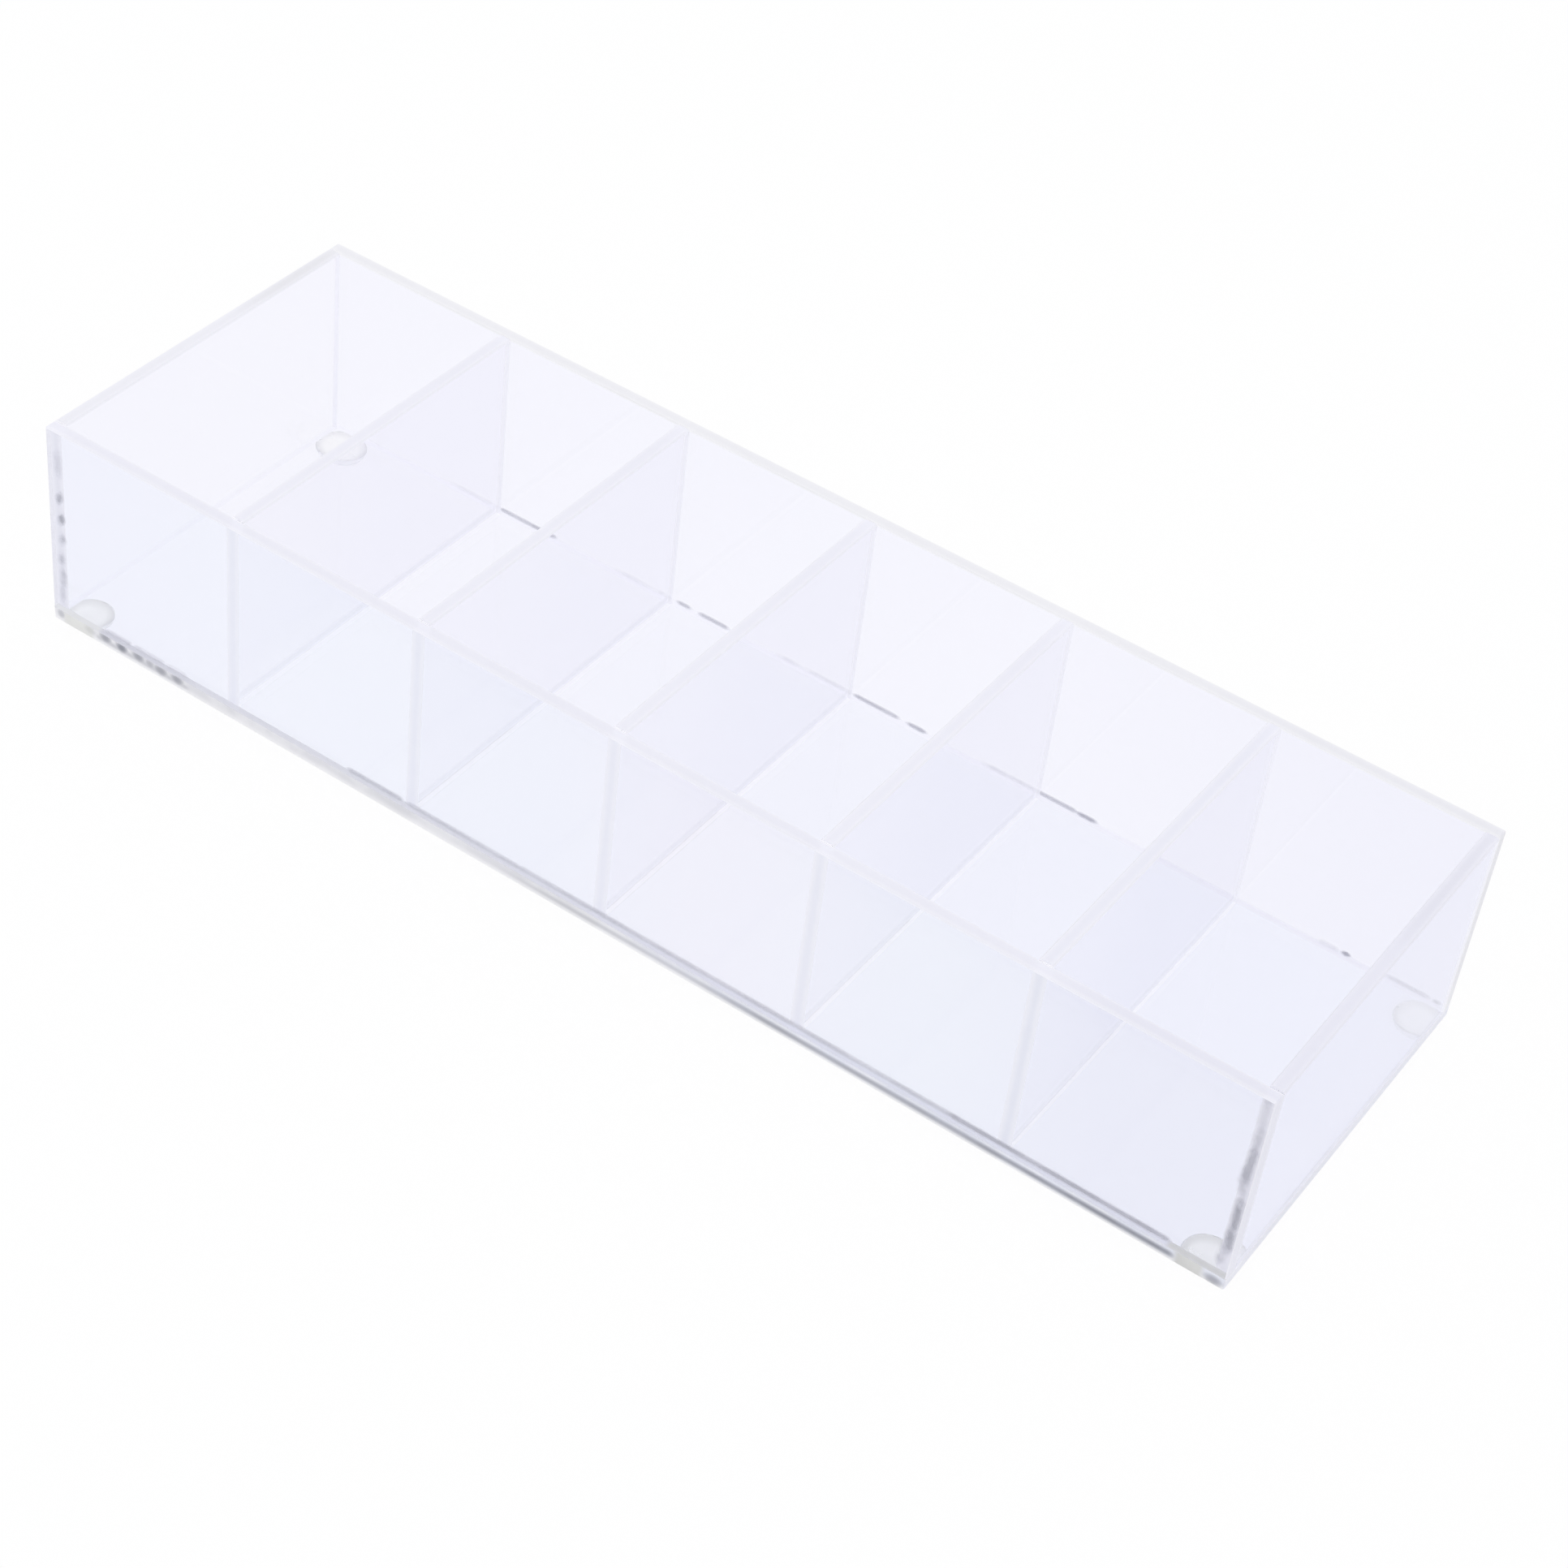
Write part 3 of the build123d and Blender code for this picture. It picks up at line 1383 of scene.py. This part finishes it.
@dataclass(frozen=True)
class JointPatch:
    """A patch of air in an upright joint, with its lengths in millimetres.

    Args:
        low: height of its lower end.
        high: height of its upper end.
        off_low: how far right of the panel's mid-plane its lower end lies.
        off_high: how far right its upper end lies.
        half: half its width.
        depth: how dark it gets.
    """

    low: float
    high: float
    off_low: float
    off_high: float
    half: float
    depth: float

    TAPER = 2.6 * MM
    SHAPE = {"waver": 0.1, "step": 0.3 * MM}
    FIRST_SEED = 20

    def ribbon(self, x: float, y: float, bulge: float, number: int) -> Ribbon:
        """Makes the patch.

        Args:
            x: mid-plane of the panel.
            y: where the patch lies across the tray.
            bulge: half its thickness.
            number: its number in the joint.

        Returns:
            The patch as a ribbon.
        """
        low, high = self.low * MM, self.high * MM
        return Ribbon(
            (x + self.off_low * MM, y, low), (x + self.off_high * MM, y, high), (1, 0, 0),
            self.half * MM, bulge, min(self.TAPER, (high - low) / 2),
            depth=self.depth, seed=self.FIRST_SEED + number, **self.SHAPE,
        )


@dataclass(frozen=True)
class SeamLine:
    """Where the air of a seam lies in a section of the wall: it leans up and outwards or inwards.

    Args:
        low_y: y of its lower border.
        low_z: height of its lower border.
        high_y: y of its upper border.
        high_z: height of its upper border.
    """

    low_y: float
    low_z: float
    high_y: float
    high_z: float


@dataclass(frozen=True)
class SeamPatch:
    """A patch of air along the seam between the base and a long wall.

    Args:
        left: x of its left end, in millimetres.
        right: x of its right end, in millimetres.
        depth: how dark it gets.
    """

    left: float
    right: float
    depth: float

    TAPER = 2.0 * MM
    SHAPE = {"waver": 0.07, "step": 0.5 * MM}
    FIRST_SEED = 60
    LIFT = 2.5

    def ribbon(self, line: SeamLine, bulge: float, number: int) -> Ribbon:
        """Makes the patch, every other one a little higher than its neighbours.

        Args:
            line: where it lies in a section of the wall.
            bulge: half its thickness.
            number: its number in the seam.

        Returns:
            The patch as a ribbon.
        """
        left, right = self.left * MM, self.right * MM
        across = Vector((0, line.high_y - line.low_y, line.high_z - line.low_z))
        y = (line.low_y + line.high_y) / 2
        z = (line.low_z + line.high_z) / 2 + bulge * self.LIFT * (number % 2)
        return Ribbon(
            (left, y, z), (right, y, z), tuple(across.normalized()),
            across.length / 2, bulge, min(self.TAPER, (right - left) / 2),
            depth=self.depth, seed=self.FIRST_SEED + number, **self.SHAPE,
        )


@dataclass
class DryPatches:
    """Air left in the joints: the beads and lines that show dark in the clear sheets, their dark a
    painted reflection.

    Args:
        layout: sizes of the tray.
        upright_air: finish of the air in the two front corners.
        seam_air: finish of the air in the two seams.
        lift: distance of the air from the joint's plane, in the sheet in front of it.
        bulge: half the thickness of a patch.
    """

    layout: TrayLayout
    upright_air: TrappedAir = TrappedAir(heart=0.08)
    seam_air: TrappedAir = TrappedAir(heart=0.15, mottle=110.0, keeps=0.78)
    lift: float = 0.09 * MM
    bulge: float = 0.03 * MM

    LEFT = (
        JointPatch(37.8, 45.8, 0.2, 0.3, 1.45, 0.32),
        JointPatch(30.9, 35.6, -0.2, 0.9, 1.4, 0.95),
        JointPatch(25.6, 30.1, 0.0, 1.1, 1.4, 0.95),
        JointPatch(20.4, 25.0, 0.2, 1.0, 1.4, 0.52),
        JointPatch(15.3, 19.6, 0.0, 0.4, 1.45, 0.47),
        JointPatch(9.4, 16.0, 0.3, 0.5, 1.5, 0.43),
        JointPatch(5.4, 11.2, -0.2, 0.1, 1.25, 0.40),
    )
    RIGHT = (
        JointPatch(5.1, 13.5, -1.4, -0.6, 1.3, 0.43),
        JointPatch(8.6, 25.6, -0.45, -0.2, 1.5, 0.73),
        JointPatch(23.6, 31.8, -0.4, -0.8, 1.5, 0.36),
        JointPatch(26.0, 38.6, -0.95, -0.15, 1.5, 0.65),
        JointPatch(35.5, 43.8, -0.4, -0.25, 1.45, 0.40),
        JointPatch(41.5, 50.0, -0.4, -0.6, 1.5, 0.31),
        JointPatch(47.4, 50.7, -0.5, -0.4, 1.45, 0.36),
    )
    REAR = (
        SeamPatch(-92.6, -77.4, 0.52),
        SeamPatch(-44.9, -39.6, 0.50),
        SeamPatch(-39.2, -29.8, 0.50),
        SeamPatch(0.6, 13.5, 0.52),
        SeamPatch(13.9, 20.3, 0.56),
        SeamPatch(45.2, 56.8, 0.50),
        SeamPatch(55.2, 61.5, 0.66),
        SeamPatch(116.3, 119.4, 0.74),
        SeamPatch(111.0, 117.2, 0.16),
        SeamPatch(123.6, 134.6, 0.46),
        SeamPatch(134.0, 136.8, 0.60),
    )
    FRONT = (
        SeamPatch(-127.2, -118.6, 0.34),
        SeamPatch(-119.6, -109.6, 0.26),
        SeamPatch(-110.6, -103.6, 0.20),
        SeamPatch(-63.0, -47.2, 0.52),
        SeamPatch(-48.0, -18.0, 0.44),
        SeamPatch(-20.0, 84.0, 0.47),
        SeamPatch(80.0, 128.6, 0.70),
    )
    REAR_LINE = SeamLine(42.8 * MM, 5.07 * MM, 44.34 * MM, 6.05 * MM)
    FRONT_LINE = SeamLine(-43.5 * MM, 5.08 * MM, -41.58 * MM, 6.1 * MM)

    def build(self) -> None:
        """Builds the patches of the two front corners and of the two bottom seams."""
        panels = self.layout.panels
        upright = self.upright_air.material("air_in_corner")
        seam = self.seam_air.material("air_in_seam")
        parts = {
            "air_front_left_joint": (upright, self._corner(panels[0], self.LEFT)),
            "air_front_right_joint": (upright, self._corner(panels[-1], self.RIGHT)),
            "air_rear_seam": (seam, self._seam(self.REAR_LINE, self.REAR)),
            "air_front_seam": (seam, self._seam(self.FRONT_LINE, self.FRONT)),
        }
        for name, (worn, ribbons) in parts.items():
            sketch = Sketch()
            for ribbon in ribbons:
                ribbon.draw(sketch)
            sketch.piece(name, worn)
            log.info("%s holds %d patches of air", name, len(ribbons))

    def _corner(self, x: float, patches: tuple[JointPatch, ...]) -> list[Ribbon]:
        """Makes the patches in the joint between the front wall and an end wall.

        Args:
            x: mid-plane of the end wall.
            patches: what lies in the joint.

        Returns:
            The ribbons, every other one a little further out.
        """
        ribbons = []
        for number, patch in enumerate(patches):
            y = -self.layout.joint_plane - self.lift * (1 + number % 2)
            ribbons.append(patch.ribbon(x, y, self.bulge, number))
        return ribbons

    def _seam(self, line: SeamLine, patches: tuple[SeamPatch, ...]) -> list[Ribbon]:
        """Makes the patches along the seam between the base and a long wall."""
        return [patch.ribbon(line, self.bulge, number) for number, patch in enumerate(patches)]


@dataclass
class BumperFeet:
    """The four stick-on bumper feet: a low dome with a flat land and a rounded border.

    Args:
        layout: sizes of the tray.
        glue: how far the dome stays off the base for its layer of glue.
        segments: points round a foot.
    """

    layout: TrayLayout
    glue: float = 0.02 * MM
    segments: int = 64

    GEL = BumperGel()
    CLEAREST = BumperGel((1.0, 1.0, 1.0), (0.955, 0.955, 0.97), (0.99, 0.99, 1.0), clear=0.9)
    # A darker copy of the gel, for the front right foot.
    DARKER_GEL = BumperGel((0.925, 0.93, 0.905), (0.83, 0.833, 0.81), (0.895, 0.9, 0.875))
    PROFILE = (
        (0.0, 1.0), (0.55, 1.0), (0.93, 1.0), (0.98, 0.985), (1.0, 0.94), (1.0, 0.80), (0.985, 0.64),
        (0.945, 0.44), (0.885, 0.25), (0.81, 0.10), (0.735, 0.02), (0.68, 0.0), (0.40, 0.0), (0.0, 0.0),
    )

    def build(self) -> None:
        """Builds each foot in the place of its solid, in the gel that it is made of."""
        gel = self.GEL.material("bumper_gel")
        others = {
            (Side.REAR, End.LEFT): self.CLEAREST.material("bumper_gel_clear"),
            (Side.FRONT, End.RIGHT): self.DARKER_GEL.material("bumper_gel_darker"),
        }
        for side in Side:
            for end in End:
                corner = f"{side.name.lower()}_{end.name.lower()}"
                worn = others.get((side, end), gel)
                foot = self._dome(side, end).piece(f"bumper_{corner}", worn, "clear_bumper")
                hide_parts(f"foot_{corner}")
                log.info("%s stands under a corner of the base", foot.name)

    def _dome(self, side: Side, end: End) -> Sketch:
        """Turns the profile of a foot about its upright axis.

        Args:
            side: the long side that the foot is nearer to.
            end: the end that the foot is nearer to.

        Returns:
            The mesh of the foot.
        """
        lay = self.layout
        middle = Vector((end.value * lay.foot_reach[0], side.value * lay.foot_reach[1], 0))
        top = lay.underside - self.glue
        sketch, loops = Sketch(), []
        for share, height in self.PROFILE:
            lift = Vector((0, 0, top * height))
            turns = self.segments if share else 1
            loop = []
            for k in range(turns):
                angle = math.tau * k / turns
                out = Vector((math.cos(angle), math.sin(angle), 0)) * lay.foot_radius * share
                loop.append(sketch.point(middle + out + lift, share))
            loops.append(loop)
        sketch.skin(loops)
        return sketch


@dataclass(frozen=True)
class Softbox:
    """A square softbox that faces the tray.

    Args:
        name: name of the lamp.
        place: where it hangs.
        size: length of its sides.
        power: its power in watts.
    """

    name: str
    place: Point
    size: float
    power: float

    def hang(self) -> None:
        """Puts the lamp into the scene."""
        light = bpy.data.lights.new(self.name, "AREA")
        light.shape = "SQUARE"
        light.size = self.size
        light.energy = self.power
        lamp = bpy.data.objects.new(self.name, light)
        lamp.location = self.place
        lamp.rotation_mode = "QUATERNION"
        lamp.rotation_quaternion = (-Vector(self.place)).to_track_quat("-Z", "Y")
        bpy.context.scene.collection.objects.link(lamp)


@dataclass
class Studio:
    """A plain white table and soft even light.

    Args:
        reach: half the width of the table.
        paper: colour of the table.
        lit: share of the table's look that is plain background white.
        sky: level of the light from all round.
        lamps: the softboxes, overhead and in front on the left.
    """

    reach: float = 5.0
    paper: Colour = (0.97, 0.97, 0.97)
    lit: float = 0.9
    sky: Colour = (0.915, 0.915, 0.925)
    lamps: tuple[Softbox, ...] = (
        Softbox("softbox_overhead", (-0.15, 0.10, 1.25), size=1.1, power=1.5),
        Softbox("softbox_fill", (-0.9, -1.1, 0.8), size=0.8, power=0.7),
    )

    WHITE = (1, 1, 1)
    TOOTH = 350.0
    TOOTH_DENTS = (0.05, 0.02 * MM)

    def build(self) -> None:
        """Builds the table, the light from all round and the softboxes."""
        self._table()
        self._surroundings()
        for lamp in self.lamps:
            lamp.hang()
        log.info("the table and %d softboxes are set up", len(self.lamps))

    def _table(self) -> None:
        """Makes the table, white to the camera and still taking the tray's shadow."""
        finish = bpy.data.materials.new("white_table")
        tree = ShaderTree(finish)
        skin = tree.dents(tree.noise(self.TOOTH), *self.TOOTH_DENTS)
        paper = tree.node("ShaderNodeBsdfDiffuse", Color=self.paper, Normal=skin)
        white = tree.node("ShaderNodeEmission", Color=self.WHITE, Strength=1.0)
        share = tree.product(tree.background_rays(), self.lit)
        tree.surface(tree.blend(share, paper.outputs[0], white.outputs[0]))
        mesh = bpy.data.meshes.new("table")
        r = self.reach
        mesh.from_pydata([(-r, -r, 0), (r, -r, 0), (r, r, 0), (-r, r, 0)], [], [(0, 1, 2, 3)])
        mesh.materials.append(finish)
        table = bpy.data.objects.new("table", mesh)
        bpy.context.scene.collection.objects.link(table)

    def _surroundings(self) -> None:
        """Makes an even light from all round, seen as plain white."""
        world = bpy.data.worlds.new("surroundings")
        bpy.context.scene.world = world
        tree = ShaderTree(world)
        light = tree.node("ShaderNodeBackground", Color=self.sky)
        white = tree.node("ShaderNodeBackground", Color=self.WHITE)
        tree.surface(tree.blend(tree.background_rays(), light.outputs[0], white.outputs[0]))


@dataclass(frozen=True)
class PhotoCamera:
    """The camera of the photograph, as fitted to the tray's corners.

    Args:
        azimuth: degrees to the right of straight in front.
        elevation: degrees above level.
        roll: degrees by which the camera is turned about its own line of sight.
        eye: where it stands.
        focal_pixels: focal length in pixels of the frame.
        sensor: width of its sensor in millimetres.
        sees: the nearest and the farthest distance that it sees.
    """

    azimuth: float = 29.671
    elevation: float = 41.832
    roll: float = 7.735
    eye: Point = (0.26457, -0.44325, 0.47280)
    focal_pixels: float = 4298.2
    sensor: float = 36.0
    sees: Span = (0.01, 40.0)

    def build(self) -> None:
        """Sets the camera up and makes it the scene's own."""
        lens = bpy.data.cameras.new("photo_camera")
        lens.sensor_width = self.sensor
        lens.lens = self.focal_pixels / FRAME_PIXELS * self.sensor
        lens.clip_start, lens.clip_end = self.sees
        camera = bpy.data.objects.new("photo_camera", lens)
        bpy.context.scene.collection.objects.link(camera)
        turn, lift = math.radians(self.azimuth), math.radians(self.elevation)
        sight = Vector((
            -math.sin(turn) * math.cos(lift),
            math.cos(turn) * math.cos(lift),
            -math.sin(lift),
        ))
        level = sight.to_track_quat("-Z", "Y")
        camera.rotation_mode = "QUATERNION"
        camera.rotation_quaternion = level @ Quaternion((0, 0, 1), math.radians(self.roll))
        camera.location = self.eye
        bpy.context.scene.camera = camera
        log.info("the camera stands at %s", self.eye)


class RenderTerms:
    """Terms of the render that a stack of clear sheets needs."""

    SHEETS_CROSSED = 32
    MIRRORINGS = 16
    JOINTS_CROSSED = 64

    @classmethod
    def apply(cls) -> None:
        """Lets rays pass every sheet, and keeps the plain view transform."""
        scene = bpy.context.scene
        scene.view_settings.view_transform = "Standard"
        scene.cycles.max_bounces = cls.SHEETS_CROSSED
        scene.cycles.transmission_bounces = cls.SHEETS_CROSSED
        scene.cycles.glossy_bounces = cls.MIRRORINGS
        scene.cycles.transparent_max_bounces = cls.JOINTS_CROSSED


def main() -> None:
    """Dresses the tray and sets up the camera and the light."""
    logging.basicConfig(level=logging.INFO, format="%(name)s: %(message)s")
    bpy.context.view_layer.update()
    layout = TrayLayout.from_frame()
    PhotoCamera().build()
    RenderTerms.apply()
    Studio().build()
    Sheets().dress()
    CementJoints(layout).build()
    DryPatches(layout).build()
    BumperFeet(layout).build()


if __name__ == "__main__":
    main()
